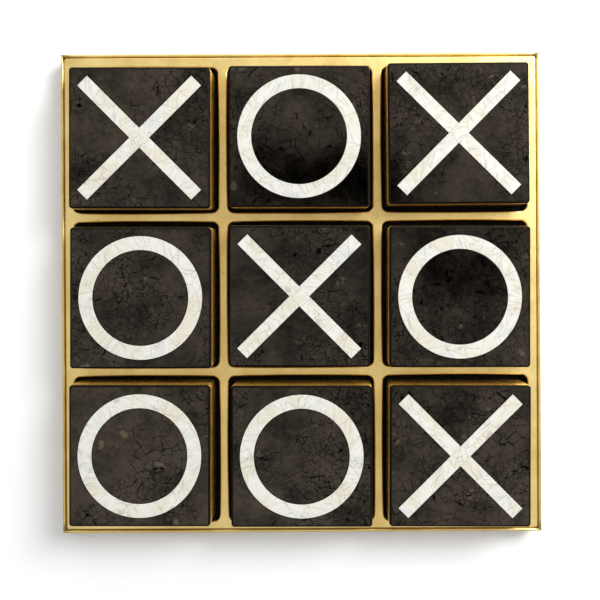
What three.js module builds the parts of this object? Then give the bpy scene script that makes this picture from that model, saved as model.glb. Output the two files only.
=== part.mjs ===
// Tic tac toe set: a brass-clad tray with a three by three grid of square cells, and nine loose
// square tiles, four with a cross and five with a ring inlaid flush in a dark pen shell top.
// Millimetres, +Z up. The origin is the centre of the underside of the tray's felt.
import * as THREE from 'three';

// --- Tray, in plan ---
const TRAY_SIDE = 305;
const CELL_COUNT = 3;
const CELL_PITCH = 98.25;
const CELL_SIDE = 92;
const CELL_CORNER = 4;
const CELL_EDGE_BOW = 0.4;        // each cell edge bows outward by this much at its middle
const GRID_SHIFT = { x: -0.25, y: -0.75 };   // the hand-cut grid lies a little off the tray's middle
const RAIL_WIDTH = 2;
const SEAM = 0.25;                // hairline between the side rails and everything inside them
const BASE_FELT_INSET = 3;

// --- Tray, in height, from the ground up ---
const FELT = 1;
const BASE_BOARD = 6;
const FLOOR_LINER = 1;
const GRID_CORE = 5.5;
const BRASS_SHEET = 1.5;
const ROLLED_EDGE = 0.75;

// --- Tiles ---
const TILE_SIDE = 87;
const TILE_CORNER = 2;
const TILE_BAND_HEIGHT = 22;
const TILE_BAND_WALL = 1;
const SHELL = 2;
const SHELL_INSET = 0.125;        // the band's rim shows past the shell by this much
const SHELL_EDGE = 0.875;         // radius of the shell's rounded top edge
const TILE_FELT_INSET = 1.25;
const FIT = 0.3;                  // clearance between a tile's nested pieces

// --- Inlays ---
const CROSS_WIDTH = 8.625;
const CROSS_LENGTH = 99.125;
const RING_OUTER = 38;
const RING_INNER = 29.375;

// --- Level of curve subdivision ---
const CORNER_STEPS = 2;
const CIRCLE_STEPS = 20;
const ROLL_STEPS = 2;

// Each tile: its mark, how far it lies off its cell's middle, and its turn in degrees.
// The rows run from the back of the tray to the front, and each row from left to right.
const TILES = [
  { mark: 'cross', x: 0.1, y: -0.9, turn: -0.3 },
  { mark: 'ring', x: 0, y: -0.5, turn: -0.2 },
  { mark: 'cross', x: -0.25, y: 1, turn: 0.2 },
  { mark: 'ring', x: 0.3, y: -1, turn: -0.3 },
  { mark: 'cross', x: -0.4, y: -0.5, turn: -0.4 },
  { mark: 'ring', x: 0, y: -1.25, turn: -0.3 },
  { mark: 'ring', x: -0.75, y: 0.25, turn: -0.3 },
  { mark: 'ring', x: 0.6, y: -0.6, turn: -0.2 },
  { mark: 'cross', x: -0.25, y: -0.85, turn: -0.4 },
];

const COLOURS = {
  brass: { color: 0xc8a04a, roughness: 0.35, metalness: 1 },
  shell: { color: 0x2e2925, roughness: 0.15, metalness: 0 },
  pearl: { color: 0xe6e5df, roughness: 0.25, metalness: 0 },
  wood: { color: 0xa5814f, roughness: 0.7, metalness: 0 },
  fibreboard: { color: 0x8f7048, roughness: 0.8, metalness: 0 },
  blackened: { color: 0x1c1917, roughness: 0.6, metalness: 0 },
  felt: { color: 0x191818, roughness: 1, metalness: 0 },
};

const trayHalf = TRAY_SIDE / 2;
const insideHalf = trayHalf - RAIL_WIDTH - SEAM;
const baseBoardZ = FELT;
const linerZ = baseBoardZ + BASE_BOARD;
const cellFloorZ = linerZ + FLOOR_LINER;
const brassZ = cellFloorZ + GRID_CORE;
const trayTopZ = brassZ + BRASS_SHEET;

const group = new THREE.Group();

function addMesh(parent, name, geometry, colour) {
  const mesh = new THREE.Mesh(geometry, new THREE.MeshStandardMaterial(COLOURS[colour]));
  mesh.name = name;
  parent.add(mesh);
  return mesh;
}

// ---------------------------------------------------------------- outlines

// A square with rounded corners, whose sides may bow outward by `bow` at their middle.
function roundedSquare(half, radius, bow = 0) {
  const flat = half - radius;
  const outline = new THREE.Path();
  outline.moveTo(-flat, -half);
  for (let side = 0; side < 4; side += 1) {
    const turn = (side * Math.PI) / 2;
    const along = new THREE.Vector2(Math.cos(turn), Math.sin(turn));
    const out = new THREE.Vector2(along.y, -along.x);
    const sideEnd = along.clone().multiplyScalar(flat).addScaledVector(out, half);
    if (bow > 0) {
      const middle = out.clone().multiplyScalar(half + 2 * bow);
      outline.quadraticCurveTo(middle.x, middle.y, sideEnd.x, sideEnd.y);
    } else {
      outline.lineTo(sideEnd.x, sideEnd.y);
    }
    const centre = along.clone().add(out).multiplyScalar(flat);
    outline.absarc(centre.x, centre.y, radius, turn - Math.PI / 2, turn, false);
  }
  return outline.getPoints(CORNER_STEPS);
}

function circle(radius) {
  return new THREE.Path().absarc(0, 0, radius, 0, 2 * Math.PI, false).getPoints(CIRCLE_STEPS);
}

// The outline of two equal bars that cross at right angles, lying along the diagonals.
function cross(halfWidth, halfLength) {
  const points = [];
  for (let arm = 0; arm < 4; arm += 1) {
    const turn = Math.PI / 4 + (arm * Math.PI) / 2;
    const armPoints = [
      new THREE.Vector2(halfLength, -halfWidth),
      new THREE.Vector2(halfLength, halfWidth),
      new THREE.Vector2(halfWidth, halfWidth),
    ];
    points.push(...armPoints.map((point) => point.rotateAround(new THREE.Vector2(), turn)));
  }
  return points;
}

function movedBy(points, x, y) {
  return points.map((point) => new THREE.Vector2(point.x + x, point.y + y));
}

// The middles of the cells, row by row from the back left one.
function cellMiddles() {
  const middles = [];
  for (let row = 0; row < CELL_COUNT; row += 1) {
    for (let column = 0; column < CELL_COUNT; column += 1) {
      const step = (CELL_COUNT - 1) / 2;
      const x = GRID_SHIFT.x + (column - step) * CELL_PITCH;
      const y = GRID_SHIFT.y + (step - row) * CELL_PITCH;
      middles.push(new THREE.Vector2(x, y));
    }
  }
  return middles;
}

// ---------------------------------------------------------------- solids

// Outlines come as [outer, hole, hole, ...]. The outer one runs anticlockwise, the holes
// clockwise, and none of them repeats its first point.
function oriented(outlines) {
  return outlines.map((outline, index) => {
    const points = outline.slice();
    if (points[0].distanceTo(points[points.length - 1]) < 1e-6) {
      points.pop();
    }
    const wantsClockwise = index > 0;
    if (THREE.ShapeUtils.isClockWise(points) !== wantsClockwise) {
      points.reverse();
    }
    return points;
  });
}

// A closed solid through a stack of levels, lowest first. Every level has the same outlines,
// point for point, at its own height and with its own inset.
function stackedSolid(levels) {
  const stack = levels.map(({ z, outlines }) => ({ z, outlines: oriented(outlines) }));
  const positions = [];
  for (const { z, outlines } of stack) {
    for (const point of outlines.flat()) {
      positions.push(point.x, point.y, z);
    }
  }
  const counts = stack[0].outlines.map((outline) => outline.length);
  const levelSize = counts.reduce((sum, count) => sum + count, 0);
  const indices = [];
  for (let level = 0; level < stack.length - 1; level += 1) {
    let first = level * levelSize;
    for (const count of counts) {
      for (let i = 0; i < count; i += 1) {
        const a = first + i;
        const b = first + ((i + 1) % count);
        indices.push(a, b, b + levelSize, a, b + levelSize, a + levelSize);
      }
      first += count;
    }
  }
  const top = stack.length - 1;
  for (const level of [0, top]) {
    const [outer, ...holes] = stack[level].outlines;
    const first = level * levelSize;
    for (const [a, b, c] of THREE.ShapeUtils.triangulateShape(outer, holes)) {
      const face = level === top ? [a, b, c] : [c, b, a];
      indices.push(...face.map((index) => first + index));
    }
  }
  const geometry = new THREE.BufferGeometry();
  geometry.setAttribute('position', new THREE.Float32BufferAttribute(positions, 3));
  geometry.setIndex(indices);
  return geometry;
}

// A plate whose top edges are rounded. `outlinesAt(inset)` gives its outlines drawn in by `inset`.
function roundedPlate(bottom, top, radius, outlinesAt) {
  const levels = [{ z: bottom, outlines: outlinesAt(0) }];
  for (let step = 0; step <= ROLL_STEPS; step += 1) {
    const angle = (step / ROLL_STEPS) * (Math.PI / 2);
    levels.push({
      z: top - radius + radius * Math.sin(angle),
      outlines: outlinesAt(radius * (1 - Math.cos(angle))),
    });
  }
  return stackedSolid(levels);
}

function prism(bottom, top, outlines) {
  return stackedSolid([{ z: bottom, outlines }, { z: top, outlines }]);
}

function slab(half, bottom, height) {
  const geometry = new THREE.BoxGeometry(2 * half, 2 * half, height);
  geometry.translate(0, 0, bottom + height / 2);
  return geometry;
}

// ---------------------------------------------------------------- tray

// The lattice's outlines: the outer square and one window a cell, all drawn in by `inset`.
function latticeOutlines(inset, windowHalf) {
  const outer = roundedSquare(insideHalf - inset, 1.25 - inset);
  const window = roundedSquare(windowHalf + inset, CELL_CORNER + inset, CELL_EDGE_BOW);
  return [outer, ...cellMiddles().map((middle) => movedBy(window, middle.x, middle.y))];
}

function addTrayInside() {
  addMesh(group, 'base_felt', slab(trayHalf - BASE_FELT_INSET, 0, FELT), 'felt');
  addMesh(group, 'base_board', slab(insideHalf, baseBoardZ, BASE_BOARD), 'fibreboard');
  addMesh(group, 'floor_liner', slab(insideHalf, linerZ, FLOOR_LINER), 'felt');
  const coreOutlines = latticeOutlines(0, CELL_SIDE / 2 + SEAM);
  addMesh(group, 'grid_core', prism(cellFloorZ, brassZ, coreOutlines), 'blackened');
  const sheetOutlines = (inset) => latticeOutlines(inset, CELL_SIDE / 2);
  addMesh(group, 'brass_grid', roundedPlate(brassZ, trayTopZ, ROLLED_EDGE, sheetOutlines), 'brass');
}

// One side strip: a flat bar with a half-round bead along its top and mitred ends. The
// section is extruded along X, and its ends are then sheared to the 45 degree mitres.
function railGeometry() {
  const radius = RAIL_WIDTH / 2;
  const section = new THREE.Shape();
  section.moveTo(radius, FELT);
  section.lineTo(radius, trayTopZ - radius);
  section.absarc(0, trayTopZ - radius, radius, 0, Math.PI, false);
  section.lineTo(-radius, FELT);
  section.closePath();
  const geometry = new THREE.ExtrudeGeometry(section, {
    depth: 1,
    steps: 1,
    bevelEnabled: false,
    curveSegments: 3,
  });
  const position = geometry.getAttribute('position');
  for (let i = 0; i < position.count; i += 1) {
    const across = position.getX(i) - (trayHalf - radius);
    const end = position.getZ(i) > 0.5 ? 1 : -1;
    position.setXYZ(i, end * (Math.abs(across) - SEAM / 2), across, position.getY(i));
  }
  geometry.deleteAttribute('normal');
  geometry.deleteAttribute('uv');
  return geometry;
}

function addRails() {
  ['front', 'right', 'back', 'left'].forEach((side, index) => {
    const rail = addMesh(group, `side_rail_${side}`, railGeometry(), 'brass');
    rail.rotation.z = (index * Math.PI) / 2;
  });
}

// ---------------------------------------------------------------- tiles

function inlayOutlines(mark, clearance) {
  if (mark === 'cross') {
    return [cross(CROSS_WIDTH / 2 + clearance, CROSS_LENGTH / 2 + clearance)];
  }
  return [circle(RING_OUTER + clearance), circle(RING_INNER - clearance)];
}

function addTile(number, mark, middle, lie) {
  const tile = new THREE.Group();
  tile.position.set(middle.x + lie.x, middle.y + lie.y, cellFloorZ);
  tile.rotation.z = THREE.MathUtils.degToRad(lie.turn);
  group.add(tile);

  const half = TILE_SIDE / 2;
  const bandTop = FELT + TILE_BAND_HEIGHT;
  const top = bandTop + SHELL;
  const bandInside = half - TILE_BAND_WALL;
  const feltOutline = roundedSquare(half - TILE_FELT_INSET, TILE_CORNER);
  const bandOutlines = [
    roundedSquare(half, TILE_CORNER),
    roundedSquare(bandInside, TILE_CORNER - TILE_BAND_WALL),
  ];
  const [pocket] = inlayOutlines(mark, FIT);
  const panelOutlines = (inset) => [
    roundedSquare(half - SHELL_INSET - inset, TILE_CORNER - inset),
    pocket,
  ];
  addMesh(tile, `tile_${number}_felt`, prism(0, FELT, [feltOutline]), 'felt');
  addMesh(tile, `tile_${number}_core`, slab(bandInside - FIT, FELT, TILE_BAND_HEIGHT), 'wood');
  addMesh(tile, `tile_${number}_brass_band`, prism(FELT, bandTop, bandOutlines), 'brass');
  const panel = roundedPlate(bandTop, top, SHELL_EDGE, panelOutlines);
  addMesh(tile, `tile_${number}_shell_panel`, panel, 'shell');
  const inlay = prism(bandTop, top, inlayOutlines(mark, 0));
  addMesh(tile, `tile_${number}_${mark}_inlay`, inlay, 'pearl');
  if (mark === 'ring') {
    const disc = prism(bandTop, top, [circle(RING_INNER - FIT)]);
    addMesh(tile, `tile_${number}_shell_disc`, disc, 'shell');
  }
}

addTrayInside();
addRails();
cellMiddles().forEach((middle, index) => {
  addTile(index + 1, TILES[index].mark, middle, TILES[index]);
});

export default group;
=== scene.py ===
import math
import random

import bpy
from mathutils import Matrix, Vector, noise
from mathutils.geometry import tessellate_polygon


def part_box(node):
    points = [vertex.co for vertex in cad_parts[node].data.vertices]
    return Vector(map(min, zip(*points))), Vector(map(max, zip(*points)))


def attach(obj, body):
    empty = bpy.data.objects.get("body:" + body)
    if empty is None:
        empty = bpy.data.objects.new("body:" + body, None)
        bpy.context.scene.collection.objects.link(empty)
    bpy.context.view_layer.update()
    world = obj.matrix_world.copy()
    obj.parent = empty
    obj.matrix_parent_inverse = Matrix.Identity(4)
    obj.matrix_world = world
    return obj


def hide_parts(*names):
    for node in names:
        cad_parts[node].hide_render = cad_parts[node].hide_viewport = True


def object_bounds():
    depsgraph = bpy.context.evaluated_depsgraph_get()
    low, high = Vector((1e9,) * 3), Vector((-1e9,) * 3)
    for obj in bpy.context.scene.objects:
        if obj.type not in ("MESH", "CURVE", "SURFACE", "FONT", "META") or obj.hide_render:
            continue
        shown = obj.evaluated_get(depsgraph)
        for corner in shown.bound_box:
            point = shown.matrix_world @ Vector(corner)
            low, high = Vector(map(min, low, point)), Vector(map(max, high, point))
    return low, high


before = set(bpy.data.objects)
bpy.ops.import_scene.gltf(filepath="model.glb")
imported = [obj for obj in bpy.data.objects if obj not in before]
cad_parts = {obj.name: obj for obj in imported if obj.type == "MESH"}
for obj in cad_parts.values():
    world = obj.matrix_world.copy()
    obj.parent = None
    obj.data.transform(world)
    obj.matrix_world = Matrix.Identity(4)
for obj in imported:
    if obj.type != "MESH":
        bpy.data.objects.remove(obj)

# A tic tac toe set: a brass-clad tray of nine cells, with nine loose inlaid tiles. Metres, +Z up.
# Places and outer sizes are read from the CAD's boxes. The constants below are what the boxes don't give.

MM = 0.001
cad_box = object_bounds()

# --- Tray ---
CELL_PITCH = 98.25 * MM
CELL_SIDE = 92 * MM
CELL_CORNER = 3.8 * MM
CELL_EDGE_BOW = 0.4 * MM
GRID_SHIFT = (-0.25 * MM, -0.75 * MM)
SHEET_CORNER = 1.6 * MM
SHEET_ROLL = 1.0 * MM
HAND_FORMED = 0.12 * MM      # how far the window edges wander from true
WINDOW_WAVES = 35            # how quickly they wander, per metre
OTHER_NOISE = Vector((7, 3, 1))
SEAM = 0.25 * MM
RAIL_FOOT = 0.2 * MM
RAIL_STRAY = 0.05 * MM       # how far a rail's outer face dips in from true
RAIL_WAVES = 28
RAIL_BIAS = 0.3
NOISE_APART = 9.0            # keeps the four rails' noise unlike
PAD_CORNER = 4 * MM
PAD_ROLL = 0.3 * MM

# --- Tiles ---
TILE_CORNER = 2 * MM
SHELL_ROLL = 1.25 * MM
BAND_WALL = 1 * MM
BAND_RIM = 0.25 * MM
DISC_ROLL = 0.06 * MM
FLAT_FACE = 0.999            # a face whose normal is less upright than this is on the rolled edge
INLAY_GAP = 0.4 * MM         # black resin line round each inlay
LINE_TO_SHELL = 0.02 * MM
LINE_TO_INLAY = 0.01 * MM
LINE_SUNK = 0.04 * MM        # how far the resin lies below the shell's face
CROSS_WIDTH = 8.625 * MM
CROSS_LENGTH = 99.125 * MM
RING_OUTER = 38 * MM
RING_INNER = 29.375 * MM

# --- Mother-of-pearl chips ---
CHIP_LENGTH = {"cross": 11 * MM, "ring": 19 * MM}
CHIP_SEAM = 0.12 * MM
CHIP_EDGE = 0.05 * MM
CHIP_STEP = 1.2 * MM         # longest straight stretch along a curved chip
STRAIGHT_STEP = 1.0          # longer than any chip, so a straight chip's sides stay whole
CHIP_JITTER = 0.34           # how far a chip strays along its strip, in chip lengths
SPLIT_CHANCE = 0.42          # how often two chips lie side by side
SPLIT_LEAN = 0.45
SPLIT_ACROSS = (0.2, 0.42)   # how far from the strip's middle they lie, in strip widths
SINGLE_ACROSS = 0.3
SMALLEST_CHIP = 0.8 * MM
CHIP_BED = 0.5 * MM          # how far the chips' undersides lie above the shell's
FILLER_SUNK = 0.07 * MM
CHIP_SEED = 40

TILE_COUNT = 9
TILE_NUMBERS = range(1, TILE_COUNT + 1)
MARKS = {n: "cross" if f"tile_{n}_cross_inlay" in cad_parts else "ring" for n in TILE_NUMBERS}


# ------------------------------------------------------------------ mesh helpers

def turned(point, angle):
    c, s = math.cos(angle), math.sin(angle)
    return (point[0] * c - point[1] * s, point[0] * s + point[1] * c)


def rounded_square(half, radius, bow=0.0, corner_steps=8, side_steps=1):
    """A square's outline with round corners, anticlockwise. Its sides bow out by bow at their middle."""
    flat = half - radius
    points = []
    for side in range(4):
        quarter = side * math.pi / 2
        for step in range(side_steps):
            s = -flat + 2 * flat * step / side_steps
            points.append(turned((s, -half - bow * (1 - (s / flat) ** 2)), quarter))
        for step in range(corner_steps):
            angle = -math.pi / 2 * (1 - step / corner_steps)
            corner = (flat + radius * math.cos(angle), -flat + radius * math.sin(angle))
            points.append(turned(corner, quarter))
    return points


def circle(radius, steps=180):
    return [turned((radius, 0), 2 * math.pi * i / steps) for i in range(steps)]


def cross_outline(half_width, half_length):
    points = []
    for arm in range(4):
        turn = math.pi / 4 + arm * math.pi / 2
        for corner in ((half_length, -half_width), (half_length, half_width), (half_width, half_width)):
            points.append(turned(corner, turn))
    return points


def signed_area(points):
    return sum(a[0] * b[1] - b[0] * a[1] for a, b in zip(points, points[1:] + points[:1])) / 2


def add_object(name, vertices, faces, smooth=None):
    mesh = bpy.data.meshes.new(name)
    mesh.from_pydata(vertices, [], faces)
    if smooth is not None:
        mesh.polygons.foreach_set("use_smooth", smooth)
    mesh.update()
    piece = bpy.data.objects.new(name, mesh)
    bpy.context.scene.collection.objects.link(piece)
    return piece


def stacked_faces(levels):
    """Vertices, faces and smooth flags of a closed solid through levels of (z, [outer, hole, ...])."""
    stack = []
    for z, outlines in levels:
        facing = []
        for index, outline in enumerate(outlines):
            is_hole = index > 0
            clockwise = signed_area(outline) < 0
            facing.append(outline if clockwise == is_hole else outline[::-1])
        stack.append((z, facing))
    vertices = [(x, y, z) for z, outlines in stack for outline in outlines for x, y in outline]
    counts = [len(outline) for outline in stack[0][1]]
    level_size = sum(counts)
    faces, smooth = [], []
    for level in range(len(stack) - 1):
        first = level * level_size
        for count in counts:
            for i in range(count):
                a, b = first + i, first + (i + 1) % count
                faces.append((a, b, b + level_size, a + level_size))
                smooth.append(True)
            first += count
    for level in (0, len(stack) - 1):
        outlines = [[Vector((x, y, 0)) for x, y in outline] for outline in stack[level][1]]
        flat = [p for outline in outlines for p in outline]
        for a, b, c in tessellate_polygon(outlines):
            up = (flat[b] - flat[a]).cross(flat[c] - flat[a]).z > 0
            order = (a, b, c) if up == (level > 0) else (c, b, a)
            faces.append(tuple(level * level_size + i for i in order))
            smooth.append(False)
    return vertices, faces, smooth


def rolled_levels(bottom, top, radius, outlines_at, steps=6, bottom_radius=0.0):
    """Levels of a plate with rounded top edges, and bottom edges where bottom_radius is set."""
    levels = []
    if bottom_radius > 0:
        for step in range(steps):
            angle = math.pi / 2 * step / steps
            z = bottom + bottom_radius * (1 - math.sin(angle))
            levels.insert(0, (z, outlines_at(bottom_radius * (1 - math.cos(angle)))))
        levels.insert(0, (bottom, outlines_at(bottom_radius)))
    else:
        levels.append((bottom, outlines_at(0.0)))
    for step in range(steps + 1):
        angle = math.pi / 2 * step / steps
        levels.append((top - radius + radius * math.sin(angle), outlines_at(radius * (1 - math.cos(angle)))))
    return levels


def add_plate(name, bottom, top, radius, outlines_at, steps=6, bottom_radius=0.0):
    levels = rolled_levels(bottom, top, radius, outlines_at, steps, bottom_radius)
    return add_object(name, *stacked_faces(levels))


# ------------------------------------------------------------------ material helpers

class Recipe:
    """A material's node tree, with short calls to add nodes and link them."""

    def __init__(self, name):
        self.material = bpy.data.materials.new(name)
        self.material.use_nodes = True
        self.tree = self.material.node_tree
        self.shader = self.tree.nodes["Principled BSDF"]

    def node(self, kind, inputs=(), **settings):
        made = self.tree.nodes.new("ShaderNode" + kind)
        for key, value in settings.items():
            setattr(made, key, value)
        for key, value in dict(inputs).items():
            self.feed(made.inputs[key], value)
        return made

    def feed(self, socket, value):
        if isinstance(value, bpy.types.NodeSocket):
            self.tree.links.new(value, socket)
        else:
            socket.default_value = value

    def set(self, **values):
        for key, value in values.items():
            self.feed(self.shader.inputs[key.replace("_", " ")], value)

    def coords(self, scale=(1, 1, 1), source="Object", turn=0.0):
        where = self.node("TexCoord").outputs[source]
        return self.node("Mapping", {"Vector": where, "Scale": scale, "Rotation": (0, 0, turn)}).outputs[0]

    def noise(self, vector, scale, detail=3.0, roughness=0.5, distortion=0.0):
        made = self.node("TexNoise", {"Vector": vector, "Scale": scale, "Detail": detail,
                                      "Roughness": roughness, "Distortion": distortion})
        return made.outputs["Fac"]

    def voronoi(self, vector, scale, feature="DISTANCE_TO_EDGE", output="Distance"):
        made = self.node("TexVoronoi", {"Vector": vector, "Scale": scale}, feature=feature)
        return made.outputs[output]

    def math(self, operation, a, b):
        made = self.node("Math", operation=operation)
        for socket, value in zip(made.inputs, (a, b)):
            self.feed(socket, value)
        return made.outputs[0]

    def ramp(self, value, low, high, out_low=0.0, out_high=1.0):
        made = self.node("MapRange", {"Value": value, "From Min": low, "From Max": high,
                                      "To Min": out_low, "To Max": out_high}, interpolation_type="SMOOTHSTEP")
        return made.outputs[0]

    def mix(self, factor, a, b):
        made = self.node("Mix", data_type="RGBA")
        for index, value in ((0, factor), (6, a), (7, b)):
            self.feed(made.inputs[index], value if not isinstance(value, tuple) else (*value, 1.0))
        return made.outputs[2]

    def bump(self, height, strength, distance, normal=None):
        inputs = {"Height": height, "Strength": strength, "Distance": distance}
        if normal is not None:
            inputs["Normal"] = normal
        return self.node("Bump", inputs).outputs[0]

    def warped(self, vector, scale, amount):
        """The coordinates pushed about by noise, by up to about amount."""
        push = self.node("TexNoise", {"Vector": vector, "Scale": scale, "Detail": 2.0}).outputs["Color"]
        centred = self.node("VectorMath", {0: push, 1: (0.5, 0.5, 0.5)}, operation="SUBTRACT").outputs[0]
        scaled = self.node("VectorMath", {0: centred, "Scale": amount}, operation="SCALE").outputs[0]
        return self.node("VectorMath", {0: vector, 1: scaled}, operation="ADD").outputs[0]


# ------------------------------------------------------------------ materials

def make_brass(name, colour, deep, roughness, metallic=1.0, waves=0.6):
    """Satin brass: fine brushing across the bars, faint clouds, tarnish and a few pits."""
    r = Recipe(name)
    here = r.coords()
    clouds = r.noise(here, 45, detail=4, roughness=0.6)
    brushed_x = r.noise(r.coords((2600, 170, 400)), 1.0, detail=3, roughness=0.6)
    brushed_y = r.noise(r.coords((170, 2600, 400)), 1.0, detail=3, roughness=0.6)
    streaks = r.math("ADD", r.math("MULTIPLY", brushed_x, 0.65), r.math("MULTIPLY", brushed_y, 0.35))
    clouded = r.math("ADD", r.math("MULTIPLY", clouds, 0.6), r.math("MULTIPLY", streaks, 0.4))
    tone = r.ramp(clouded, 0.36, 0.62)
    pits = r.ramp(r.voronoi(here, 170, feature="F1"), 0.05, 0.14, 1.0, 0.0)
    rare = r.ramp(r.noise(here, 260, detail=1), 0.62, 0.68)
    pitted = r.math("MULTIPLY", pits, rare)
    worn = r.mix(tone, deep, colour)
    r.set(Base_Color=r.mix(r.math("MULTIPLY", pitted, 0.75), worn, (0.10, 0.05, 0.015)))
    r.set(Metallic=metallic, Roughness=r.ramp(streaks, 0.3, 0.7, roughness - 0.06, roughness + 0.1))
    slow = r.bump(r.noise(here, 42, detail=1), waves, 0.0008)
    r.set(Normal=r.bump(r.math("SUBTRACT", streaks, pitted), 0.22, 0.00006, slow))
    return r.material


def make_pen_shell():
    """Polished pen shell: brown clouds, scattered pale flakes, and crackle in drifts of thin broken grooves,
    whose near-black colour is painted shade.
    """
    r = Recipe("pen_shell")
    here = r.coords()
    bent = r.warped(here, 110, 0.0026)
    flakes = r.voronoi(bent, 120, feature="F1", output="Color")
    flake = r.node("SeparateColor", {"Color": flakes}).outputs[0]
    clouds = r.noise(r.warped(here, 30, 0.012), 34, detail=5, roughness=0.62)
    mottle = r.noise(r.coords((230, 330, 300), turn=0.6), 1.0, detail=4, roughness=0.7)
    drifts = r.ramp(r.noise(here, 17, detail=2), 0.45, 0.55)
    fine_drifts = r.ramp(r.noise(r.coords((1.2, 1.2, 1)), 22, detail=2), 0.46, 0.54)
    broken = r.ramp(r.noise(here, 150, detail=2), 0.34, 0.46)
    wide_cracks = r.ramp(r.voronoi(r.warped(here, 260, 0.0006), 150), 0.008, 0.030, 1.0, 0.0)
    fine_cracks = r.ramp(r.voronoi(r.warped(here, 260, 0.0006), 270), 0.010, 0.044, 1.0, 0.0)
    wide = r.math("MULTIPLY", wide_cracks, r.math("MULTIPLY", drifts, broken))
    fine = r.math("MULTIPLY", fine_cracks, r.math("MULTIPLY", fine_drifts, r.math("ADD", broken, 0.15)))
    crack_grooves_and_shade = r.math("MAXIMUM", wide, fine)
    dark = (0.020, 0.0172, 0.0138)
    brown = (0.070, 0.0575, 0.0435)
    olive = (0.17, 0.14, 0.09)
    shade = r.math("ADD", r.math("MULTIPLY", clouds, 0.7), r.math("MULTIPLY", mottle, 0.3))
    ground = r.mix(r.ramp(shade, 0.34, 0.64), dark, brown)
    tiny = r.voronoi(r.warped(here, 300, 0.002), 300, feature="F1", output="Color")
    tiny_flake = r.node("SeparateColor", {"Color": tiny}).outputs[1]
    pale = r.math("MULTIPLY", r.ramp(tiny_flake, 0.86, 0.94), r.ramp(flake, 0.9, 0.94))
    ground = r.mix(r.math("MULTIPLY", pale, 0.5), ground, olive)
    scratch = r.ramp(r.noise(r.coords((60, 2600, 60), turn=0.9), 1.0, detail=1), 0.76, 0.8)
    ground = r.mix(r.math("MULTIPLY", scratch, 0.35), ground, olive)
    # Painted shade: the cracks' near-black colour stands in for the shade inside the crack grooves.
    r.set(Base_Color=r.mix(r.math("MULTIPLY", crack_grooves_and_shade, 0.94), ground, (0.0012, 0.001, 0.001)))
    r.set(Roughness=r.ramp(shade, 0.3, 0.7, 0.09, 0.16), Metallic=1.0)
    wavy = r.bump(r.noise(here, 55, detail=2), 0.3, 0.0004)
    r.set(Normal=r.bump(crack_grooves_and_shade, -0.3, 0.00008, wavy))
    return r.material


def make_pearl():
    """Polished mother-of-pearl. UVs run along each chip's own growth lines."""
    r = Recipe("mother_of_pearl")
    here = r.coords()
    grain = r.coords(source="UV")
    chip = r.node("Attribute", attribute_name="chip").outputs["Fac"]
    bent = r.warped(grain, 90, 0.005)
    stretch = r.node("Mapping", {"Vector": bent, "Scale": (90, 620, 1)}).outputs[0]
    bands = r.noise(stretch, 1.0, detail=5, roughness=0.62, distortion=0.5)
    mottle = r.noise(grain, 330, detail=4, roughness=0.6)
    clouds = r.noise(r.warped(here, 40, 0.01), 62, detail=2)
    veins = r.ramp(r.voronoi(r.warped(grain, 160, 0.004), 95), 0.0, 0.035, 1.0, 0.0)
    some = r.ramp(r.noise(grain, 110, detail=2), 0.52, 0.6)
    white = (0.66, 0.65, 0.595)
    cream = (0.60, 0.565, 0.46)
    cool = (0.55, 0.565, 0.555)
    grey = (0.27, 0.25, 0.20)
    body = r.mix(r.math("MULTIPLY", r.ramp(clouds, 0.46, 0.62), 0.8), white, cream)
    body = r.mix(r.math("MULTIPLY", r.ramp(clouds, 0.46, 0.34), 0.7), body, cool)
    body = r.mix(r.math("MULTIPLY", r.ramp(chip, 0.7, 1.0), 0.45), body, cream)
    body = r.mix(r.math("MULTIPLY", r.ramp(bands, 0.48, 0.70), 0.5), body, grey)
    body = r.mix(r.math("MULTIPLY", r.ramp(mottle, 0.5, 0.75), 0.35), body, cream)
    body = r.mix(r.math("MULTIPLY", r.math("MULTIPLY", veins, some), 0.5), body, grey)
    r.set(Base_Color=body, Roughness=r.ramp(bands, 0.3, 0.7, 0.3, 0.45), Specular_IOR_Level=0.5)
    r.set(Coat_Weight=0.6, Coat_Roughness=0.08, Coat_IOR=1.5)
    r.set(Sheen_Weight=0.1, Sheen_Roughness=0.4)
    r.set(Normal=r.bump(bands, 0.12, 0.00008))
    return r.material


def make_filler():
    """Grey-beige filler between the chips."""
    r = Recipe("chip_filler")
    grain = r.noise(r.coords(), 900, detail=3)
    r.set(Base_Color=r.mix(grain, (0.16, 0.135, 0.095), (0.42, 0.385, 0.31)), Roughness=0.4)
    return r.material


def make_resin():
    """Black resin, in the lines round the inlays and on the tiles' rolled edges."""
    r = Recipe("black_resin")
    grain = r.noise(r.coords(), 500, detail=3)
    r.set(Base_Color=r.mix(grain, (0.0015, 0.0013, 0.0012), (0.008, 0.0065, 0.005)), Roughness=0.5)
    r.set(Specular_IOR_Level=0.08)
    return r.material


def make_wood(name, light, dark, stretch):
    """Plain wood: growth bands and pores drawn out along X."""
    r = Recipe(name)
    along = r.coords(stretch)
    bands = r.noise(r.warped(along, 0.8, 0.6), 1.0, detail=5, roughness=0.6, distortion=0.5)
    pores = r.noise(r.coords((stretch[0] * 2, stretch[1] * 9, stretch[2] * 9)), 1.0, detail=2)
    tone = r.math("ADD", r.math("MULTIPLY", bands, 0.7), r.math("MULTIPLY", pores, 0.3))
    r.set(Base_Color=r.mix(r.ramp(tone, 0.35, 0.66), dark, light))
    r.set(Roughness=r.ramp(pores, 0.3, 0.7, 0.55, 0.75))
    r.set(Normal=r.bump(tone, 0.3, 0.0001))
    return r.material


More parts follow.
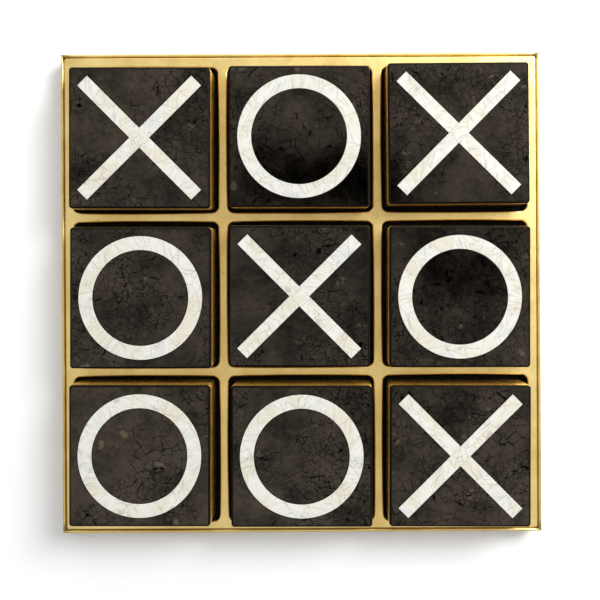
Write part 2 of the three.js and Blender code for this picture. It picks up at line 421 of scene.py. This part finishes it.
def make_felt(name, deep, nap, specular, sheen):
    """Felt: matted short fibres with a soft nap."""
    r = Recipe(name)
    here = r.coords()
    fibres = r.noise(r.warped(here, 700, 0.002), 1800, detail=4, roughness=0.7)
    matted = r.noise(here, 220, detail=3)
    tone = r.math("ADD", r.math("MULTIPLY", fibres, 0.6), r.math("MULTIPLY", matted, 0.4))
    r.set(Base_Color=r.mix(r.ramp(tone, 0.35, 0.65), deep, nap))
    r.set(Roughness=0.95, Specular_IOR_Level=specular, Sheen_Weight=sheen, Sheen_Roughness=0.5)
    r.set(Normal=r.bump(tone, 0.7, 0.0003))
    return r.material


BRASS = make_brass("satin_brass", (0.87, 0.68, 0.28), (0.72, 0.52, 0.18), 0.36)
# Partly painted shade: a darker, deeper copy of the tray's brass, for the band's own tone and for the shade
# on its sides down in the gaps.
BAND_BRASS = make_brass("band_brass", (0.62, 0.38, 0.075), (0.42, 0.24, 0.035), 0.26, 0.8, 0.15)
PEN_SHELL = make_pen_shell()
PEARL = make_pearl()
FILLER = make_filler()
RESIN = make_resin()
TILE_WOOD = make_wood("tile_wood", (0.46, 0.29, 0.14), (0.25, 0.14, 0.06), (60, 700, 700))
FIBREBOARD = make_wood("fibreboard", (0.33, 0.21, 0.11), (0.21, 0.13, 0.065), (500, 620, 900))
# Painted shade: the grid's wooden core is coloured near-black, standing in for the shade down in the narrow
# gaps round the tiles.
GAP_SHADE_WOOD = make_wood("blackened_wood", (0.014, 0.012, 0.010), (0.004, 0.0035, 0.003), (90, 600, 600))
CHARCOAL_FELT = make_felt("charcoal_felt", (0.020, 0.020, 0.021), (0.070, 0.068, 0.066), 0.3, 0.15)
# Painted shade: a near-black copy of the charcoal felt, on the cell floors, standing in for the shade at the
# bottom of the gaps.
LINER_FELT_PAINTED_SHADE = make_felt("liner_felt_painted_shade", (0.0025, 0.0025, 0.0025), (0.011, 0.0105, 0.010), 0.15, 0.05)


def paint(piece, material):
    piece.data.materials.clear()
    piece.data.materials.append(material)


def finish_piece(piece, body, material, slot, *nodes):
    paint(piece, material)
    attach(piece, body)
    if nodes:
        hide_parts(*nodes)


# ------------------------------------------------------------------ tray

def wander(points):
    """The outline of a hand-formed edge: each point strays a little, smoothly."""
    strayed = []
    for x, y in points:
        where = Vector((x, y, 0)) * WINDOW_WAVES
        stray_x = HAND_FORMED * noise.noise(where)
        stray_y = HAND_FORMED * noise.noise(where + OTHER_NOISE)
        strayed.append((x + stray_x, y + stray_y))
    return strayed


def sheet_outlines(inset):
    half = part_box("brass_grid")[1].x
    outlines = [rounded_square(half - inset, SHEET_CORNER - inset)]
    for row in (1, 0, -1):
        for column in (-1, 0, 1):
            window = rounded_square(CELL_SIDE / 2 + inset, CELL_CORNER + inset, CELL_EDGE_BOW, side_steps=16)
            middle = (GRID_SHIFT[0] + column * CELL_PITCH, GRID_SHIFT[1] + row * CELL_PITCH)
            placed = [(x + middle[0], y + middle[1]) for x, y in window]
            outlines.append(wander(placed))
    return outlines


def make_sheet():
    low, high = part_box("brass_grid")
    sheet = add_plate("brass_sheet", low.z, high.z, SHEET_ROLL, sheet_outlines, steps=7)
    finish_piece(sheet, "board", BRASS, "satin_brass", "brass_grid")


def rail_section(width, bottom, top):
    """Half-round bead on a flat strip, as (distance in from the outer face, z), from the inner foot."""
    radius = width / 2
    points = [(width - RAIL_FOOT, bottom), (width, bottom + RAIL_FOOT)]
    steps = 16
    for step in range(steps + 1):
        angle = math.pi * step / steps
        points.append((radius + radius * math.cos(angle), top - radius + radius * math.sin(angle)))
    return points + [(0.0, bottom + RAIL_FOOT), (RAIL_FOOT, bottom)]


def make_rails():
    """Four mitred strips. Each is swept along its side, and its ends are cut at 45 degrees."""
    spans = 48
    for index, side in enumerate(("front", "right", "back", "left")):
        low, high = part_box(f"side_rail_{side}")
        outer = max(abs(low.x), abs(low.y), abs(high.x), abs(high.y))
        width = min(high.x - low.x, high.y - low.y)
        section = rail_section(width, low.z, high.z)
        vertices, faces = [], []
        for span in range(spans + 1):
            for depth, z in section:
                across = outer - depth
                along = (2 * span / spans - 1) * (across - SEAM / 2)
                where = Vector((along * RAIL_WAVES, index * NOISE_APART, 0.5))
                stray = RAIL_STRAY * (noise.noise(where) - RAIL_BIAS)
                inward = min(0.0, stray) if depth < width / 2 else 0.0
                x, y = turned((along, -across - inward), index * math.pi / 2)
                vertices.append((x, y, z))
        ring = len(section)
        for span in range(spans):
            for i in range(ring):
                a, b = span * ring + i, span * ring + (i + 1) % ring
                faces.append((a, b, b + ring, a + ring))
        faces.append(tuple(range(ring))[::-1])
        faces.append(tuple(spans * ring + i for i in range(ring)))
        smooth = [True] * (len(faces) - 2) + [False, False]
        rail = add_object(f"rail_bead_{side}", vertices, faces, smooth)
        finish_piece(rail, "board", BRASS, "satin_brass", f"side_rail_{side}")


def make_tray_inside():
    # Painted shade: the floor liner and the grid's core are near-black, standing in for the shade in the
    # gaps.
    inside = {"base_board": FIBREBOARD, "floor_liner": LINER_FELT_PAINTED_SHADE, "grid_core": GAP_SHADE_WOOD}
    for node, material in inside.items():
        paint(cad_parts[node], material)
    low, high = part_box("base_felt")

    def pad_outlines(inset):
        return [rounded_square(high.x - inset, PAD_CORNER - inset)]

    pad = add_plate("felt_pad", low.z, high.z, PAD_ROLL, pad_outlines, steps=3, bottom_radius=PAD_ROLL)
    finish_piece(pad, "board", CHARCOAL_FELT, "felt", "base_felt")


# ------------------------------------------------------------------ tiles

def tile_place(number):
    """The matrix that puts a tile's own frame in place, read from its core in the CAD."""
    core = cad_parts[f"tile_{number}_core"]
    low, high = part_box(f"tile_{number}_core")
    corners = [v.co for v in core.data.vertices]
    front = max(corners, key=lambda co: co.x - co.y)
    back = max(corners, key=lambda co: co.x + co.y)
    turn = math.atan2(back.y - front.y, back.x - front.x) - math.pi / 2
    middle = (low + high) / 2
    return Matrix.Translation((middle.x, middle.y, 0)) @ Matrix.Rotation(turn, 4, "Z"), turn


def true_half(node, turn):
    """Half the side of a square node that lies turned: its box is a little larger than it is."""
    low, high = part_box(node)
    return (high.x - low.x) / 2 / (math.cos(turn) + abs(math.sin(turn)))


def clip(polygon, point, direction):
    """The part of a convex polygon on the side of point that direction points away from."""
    kept = []
    for a, b in zip(polygon, polygon[1:] + polygon[:1]):
        da = (a[0] - point[0]) * direction[0] + (a[1] - point[1]) * direction[1]
        db = (b[0] - point[0]) * direction[0] + (b[1] - point[1]) * direction[1]
        if da <= 0:
            kept.append(a)
        if (da < 0) != (db < 0) and da != db:
            t = da / (da - db)
            kept.append((a[0] + (b[0] - a[0]) * t, a[1] + (b[1] - a[1]) * t))
    return kept


def shrunk(polygon, by):
    """A convex anticlockwise polygon with every side moved in."""
    result = list(polygon)
    for a, b in zip(polygon, polygon[1:] + polygon[:1]):
        along = Vector((b[0] - a[0], b[1] - a[1]))
        if along.length < 1e-7 or len(result) < 3:
            continue
        out = Vector((along.y, -along.x)).normalized()
        result = clip(result, (a[0] - out.x * by, a[1] - out.y * by), (out.x, out.y))
    return result


def strip_chips(length, width, chip_length, rng, loops=False):
    """Convex chips that tile a strip, as polygons in (along, across)."""
    count = max(2, round(length / chip_length))
    seeds = []
    for i in range(count):
        along = (i + 0.5 + rng.uniform(-CHIP_JITTER, CHIP_JITTER)) * length / count
        if rng.random() < SPLIT_CHANCE:
            lean = rng.uniform(-SPLIT_LEAN, SPLIT_LEAN) * chip_length
            seeds.append((along - lean / 2, -width * rng.uniform(*SPLIT_ACROSS)))
            seeds.append((along + lean / 2, width * rng.uniform(*SPLIT_ACROSS)))
        else:
            seeds.append((along, width * rng.uniform(-SINGLE_ACROSS, SINGLE_ACROSS)))
    others = list(seeds)
    if loops:
        others += [(s - length, t) for s, t in seeds] + [(s + length, t) for s, t in seeds]
    chips = []
    reach = 3 * chip_length
    for seed in seeds:
        low, high = seed[0] - reach, seed[0] + reach
        if not loops:
            low, high = max(0.0, low), min(length, high)
        cell = [(low, -width / 2), (high, -width / 2), (high, width / 2), (low, width / 2)]
        for other in others:
            away = (other[0] - seed[0], other[1] - seed[1])
            if abs(away[0]) + abs(away[1]) > 1e-9 and len(cell) >= 3:
                middle = (seed[0] + away[0] / 2, seed[1] + away[1] / 2)
                cell = clip(cell, middle, away)
        cell = shrunk(cell, CHIP_SEAM / 2)
        if len(cell) >= 3 and abs(signed_area(cell)) > SMALLEST_CHIP ** 2:
            chips.append(cell)
    return chips


def chip_strips(mark, rng):
    """Each strip of an inlay: its chips, and the way from (along, across) to the tile's plane."""
    if mark == "ring":
        middle = (RING_OUTER + RING_INNER) / 2
        width = RING_OUTER - RING_INNER
        length = 2 * math.pi * middle
        start = rng.uniform(0, 2 * math.pi)
        return [(strip_chips(length, width, CHIP_LENGTH[mark], rng, loops=True), CHIP_STEP,
                 lambda s, t: turned((middle - t, 0), start + s / middle))]
    strips = []
    through = rng.choice((0, 1))
    turn = math.pi / 4 + through * math.pi / 2
    half = CROSS_LENGTH / 2
    butt = CROSS_WIDTH / 2
    strips.append((strip_chips(CROSS_LENGTH, CROSS_WIDTH, CHIP_LENGTH[mark], rng), STRAIGHT_STEP,
                   lambda s, t, turn=turn: turned((s - half, t), turn)))
    for arm in (1, 3):
        strips.append((strip_chips(half - butt, CROSS_WIDTH, CHIP_LENGTH[mark], rng), STRAIGHT_STEP,
                       lambda s, t, turn=turn + arm * math.pi / 2: turned((s + butt, t), turn)))
    return strips


def make_chips(number, mark, bottom, top, place):
    """A tile's chips as one piece: each is a closed solid with its own tint and growth lines."""
    rng = random.Random(CHIP_SEED + number)
    vertices, faces, smooth, tints, uvs = [], [], [], [], []
    for chips, step, to_plane in chip_strips(mark, rng):
        for chip in chips:
            inner = shrunk(chip, CHIP_EDGE)
            if len(inner) != len(chip):
                inner = chip
            levels = []
            for polygon, z in ((chip, bottom), (chip, top - CHIP_EDGE), (inner, top)):
                edge = []
                for a, b, c, d in zip(chip, chip[1:] + chip[:1], polygon, polygon[1:] + polygon[:1]):
                    count = max(1, math.ceil(math.dist(a, b) / step))
                    for i in range(count):
                        edge.append((c[0] + (d[0] - c[0]) * i / count, c[1] + (d[1] - c[1]) * i / count))
                levels.append((z, [[to_plane(s, t) for s, t in edge]]))
            first = len(vertices)
            new_vertices, new_faces, _ = stacked_faces(levels)
            vertices += new_vertices
            tint, grain = rng.random(), rng.uniform(0, math.pi)
            shift = (rng.uniform(-1, 1), rng.uniform(-1, 1))
            for face in new_faces:
                faces.append(tuple(first + i for i in face))
                tints.append(tint)
                for i in face:
                    u, v = turned(new_vertices[i][:2], grain)
                    uvs += [u + shift[0], v + shift[1]]
            smooth += [False] * len(new_faces)
    piece = add_object(f"tile_{number}_pearl_chips", vertices, faces, smooth)
    piece.data.attributes.new("chip", "FLOAT", "FACE").data.foreach_set("value", tints)
    piece.data.uv_layers.new(name="grain").data.foreach_set("uv", uvs)
    piece.data.transform(place)
    return piece


def inlay_outlines(mark, spare):
    if mark == "cross":
        return [cross_outline(CROSS_WIDTH / 2 + spare, CROSS_LENGTH / 2 + spare)]
    return [circle(RING_OUTER + spare), circle(RING_INNER - spare)]


def make_tile(number):
    mark, body = MARKS[number], f"tile_{number}"
    place, turn = tile_place(number)
    low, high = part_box(f"{body}_shell_panel")
    shell_bottom, shell_top = low.z, high.z
    shell_half = true_half(f"{body}_shell_panel", turn)
    band_half = true_half(f"{body}_brass_band", turn)
    band_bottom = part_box(f"{body}_brass_band")[0].z
    pocket = inlay_outlines(mark, INLAY_GAP)[0]

    panel = add_plate(f"{body}_polished_shell", shell_bottom, shell_top, SHELL_ROLL,
                      lambda inset: [rounded_square(shell_half - inset, TILE_CORNER - inset), pocket])
    panel.data.transform(place)
    finish_piece(panel, body, PEN_SHELL, "pen_shell", f"{body}_shell_panel")
    panel.data.materials.append(RESIN)      # the rolled edge
    for face in panel.data.polygons:
        face.material_index = 1 if abs(face.normal.z) < FLAT_FACE else 0
    if mark == "ring":
        disc_radius = RING_INNER - INLAY_GAP
        disc = add_plate(f"{body}_polished_disc", shell_bottom, shell_top, DISC_ROLL,
                         lambda inset: [circle(disc_radius - inset)], steps=2)
        disc.data.transform(place)
        finish_piece(disc, body, PEN_SHELL, "pen_shell", f"{body}_shell_disc")

    def band_outlines(inset):
        outside = rounded_square(band_half - inset, TILE_CORNER - inset, side_steps=6)
        inside = rounded_square(band_half - BAND_WALL + inset, TILE_CORNER - BAND_WALL + inset, side_steps=6)
        return [outside, inside]

    band = add_plate(f"{body}_band", band_bottom, shell_bottom, BAND_RIM, band_outlines,
                     steps=3, bottom_radius=BAND_RIM)
    band.data.transform(place)
    finish_piece(band, body, BAND_BRASS, "satin_brass", f"{body}_brass_band")

    chips = make_chips(number, mark, shell_bottom + CHIP_BED, shell_top, place)
    finish_piece(chips, body, PEARL, "mother_of_pearl", f"{body}_{mark}_inlay")
    filler = add_object(f"{body}_chip_filler", *stacked_faces([
        (shell_bottom, inlay_outlines(mark, -CHIP_SEAM)),
        (shell_top - FILLER_SUNK, inlay_outlines(mark, -CHIP_SEAM))]))
    filler.data.transform(place)
    finish_piece(filler, body, FILLER, "mother_of_pearl")
    make_resin_joint(number, mark, shell_bottom, shell_top - LINE_SUNK, place)

    paint(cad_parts[f"{body}_core"], TILE_WOOD)
    paint(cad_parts[f"{body}_felt"], CHARCOAL_FELT)


def make_resin_joint(number, mark, bottom, top, place):
    """The black resin that fills the line between an inlay and the shell round it."""
    pairs = [inlay_outlines(mark, INLAY_GAP - LINE_TO_SHELL)[:1] + inlay_outlines(mark, LINE_TO_INLAY)[:1]]
    if mark == "ring":
        pairs.append([circle(RING_INNER - LINE_TO_INLAY), circle(RING_INNER - INLAY_GAP + LINE_TO_SHELL)])
    for index, outlines in enumerate(pairs, start=1):
        levels = [(bottom, outlines), (top, outlines)]
        line = add_object(f"tile_{number}_resin_line_{index}", *stacked_faces(levels))
        line.data.transform(place)
        finish_piece(line, f"tile_{number}", RESIN, "pen_shell")


# ------------------------------------------------------------------ stage

FLOOR_HALF = 3.0
ZENITH = 0.97                # radiance of the ceiling, which the tray's top mirrors
OVERHEAD = 0.72              # how much of that is left straight overhead, where the camera stands
WINDOW_SIDE = 0.85           # radiance of the back wall, low down
ROOM_SIDE = 0.22             # radiance of the front wall, low down
WALL_BAND = (-0.5, 0.9)      # the directions' Y over which the walls brighten
CEILING_BAND = (0.55, 0.9)   # the directions' Z over which the ceiling starts
OVERHEAD_BAND = (0.95, 0.995)

# each lamp's name, place, size and power in watts
LAMPS = (
    ("key_softbox", (0.95, 0.78, 1.1), (0.75, 0.75), 30),
    ("window_strip", (0.0, 1.2, 0.3), (1.8, 0.35), 4),
)

BOOM_ROUTE = ((-0.085, 0.119), (0.05, 0.119), (0.13, 0.098), (0.135, 0.03), (0.19, 0.0), (0.25, 0.01))
BOOM_HALF_WIDTH = 0.038
BOOM_HEIGHT = 0.52

CAMERA_PLACE = (0.012, 0.024)
CAMERA_HEIGHT = 0.492        # above the brass sheet
CAMERA_LENS = 46.375         # millimetres
CAMERA_SENSOR = 36
CAMERA_SHIFT = (-0.0328, -0.0749)
CAMERA_ROLL = math.radians(-0.3)


def add_lamp(name, place, size, power):
    """A rectangular area light that faces the tray."""
    data = bpy.data.lights.new(name, "AREA")
    data.shape = "RECTANGLE"
    data.size, data.size_y = size
    data.energy = power
    lamp = bpy.data.objects.new(name, data)
    lamp.location = place
    lamp.rotation_euler = (Vector((0, 0, 0)) - Vector(place)).to_track_quat("-Z", "Y").to_euler()
    bpy.context.scene.collection.objects.link(lamp)


def make_floor():
    low = cad_box[0].z
    corners = [(x * FLOOR_HALF, y * FLOOR_HALF, low) for x, y in ((-1, -1), (1, -1), (1, 1), (-1, 1))]
    floor = add_object("floor", corners, [(0, 1, 2, 3)])
    r = Recipe("pale_floor")
    clouds = r.noise(r.coords(), 6, detail=2)
    r.set(Base_Color=r.mix(clouds, (0.86, 0.86, 0.865), (0.88, 0.88, 0.88)), Roughness=0.9)
    paint(floor, r.material)


def eased(tree, value, band, at_start, at_end):
    """A smooth step from at_start to at_end as value crosses band."""
    made = tree.nodes.new("ShaderNodeMapRange")
    made.interpolation_type = "SMOOTHSTEP"
    tree.links.new(value, made.inputs["Value"])
    for name, number in zip(("From Min", "From Max", "To Min", "To Max"), (*band, at_start, at_end)):
        made.inputs[name].default_value = number
    return made.outputs[0]


def joined(tree, operation, a, b):
    made = tree.nodes.new("ShaderNodeMath")
    made.operation = operation
    tree.links.new(a, made.inputs[0])
    tree.links.new(b, made.inputs[1])
    return made.outputs[0]


def make_world():
    """A bright ceiling, dimmer overhead, and walls that brighten towards the back.

    Seen directly by the camera, it is plain white.
    """
    world = bpy.data.worlds.new("studio")
    bpy.context.scene.world = world
    world.use_nodes = True
    tree = world.node_tree
    way = tree.nodes.new("ShaderNodeTexCoord").outputs["Generated"]
    parts = tree.nodes.new("ShaderNodeSeparateXYZ")
    tree.links.new(way, parts.inputs[0])
    walls = eased(tree, parts.outputs["Y"], WALL_BAND, ROOM_SIDE, WINDOW_SIDE)
    ceiling = eased(tree, parts.outputs["Z"], CEILING_BAND, 0.0, ZENITH)
    overhead = eased(tree, parts.outputs["Z"], OVERHEAD_BAND, 1.0, OVERHEAD)
    room = joined(tree, "MAXIMUM", walls, joined(tree, "MULTIPLY", ceiling, overhead))
    seen = tree.nodes.new("ShaderNodeLightPath").outputs["Is Camera Ray"]
    background = tree.nodes["Background"]
    background.inputs["Color"].default_value = (1, 1, 1, 1)
    tree.links.new(joined(tree, "MAXIMUM", room, seen), background.inputs["Strength"])


def make_boom():
    """A dark strip over the table, which shows only in reflections."""
    corners = [(x, y + side * BOOM_HALF_WIDTH, BOOM_HEIGHT) for x, y in BOOM_ROUTE for side in (-1, 1)]
    faces = [(2 * i, 2 * i + 2, 2 * i + 3, 2 * i + 1) for i in range(len(BOOM_ROUTE) - 1)]
    boom = add_object("boom", corners, faces)
    r = Recipe("matt_black")
    mottle = r.noise(r.coords(), 9)
    r.set(Base_Color=r.mix(mottle, (0.004, 0.004, 0.004), (0.008, 0.008, 0.008)), Roughness=0.9)
    paint(boom, r.material)
    boom.visible_camera = False
    boom.visible_shadow = False
    boom.visible_diffuse = False


def make_studio():
    bpy.context.scene.view_settings.view_transform = "Standard"
    make_world()
    for lamp in LAMPS:
        add_lamp(*lamp)
    make_boom()


def make_camera():
    """Looks straight down from a little behind and to the right of the tray's middle."""
    data = bpy.data.cameras.new("camera")
    data.sensor_width = CAMERA_SENSOR
    data.lens = CAMERA_LENS
    data.shift_x, data.shift_y = CAMERA_SHIFT
    data.clip_start = 0.01
    camera = bpy.data.objects.new("camera", data)
    camera.location = (*CAMERA_PLACE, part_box("brass_grid")[1].z + CAMERA_HEIGHT)
    camera.rotation_euler = (0, 0, CAMERA_ROLL)
    bpy.context.scene.collection.objects.link(camera)
    bpy.context.scene.camera = camera


make_camera()
make_sheet()
make_rails()
make_tray_inside()
for tile_number in TILE_NUMBERS:
    make_tile(tile_number)
make_floor()
make_studio()
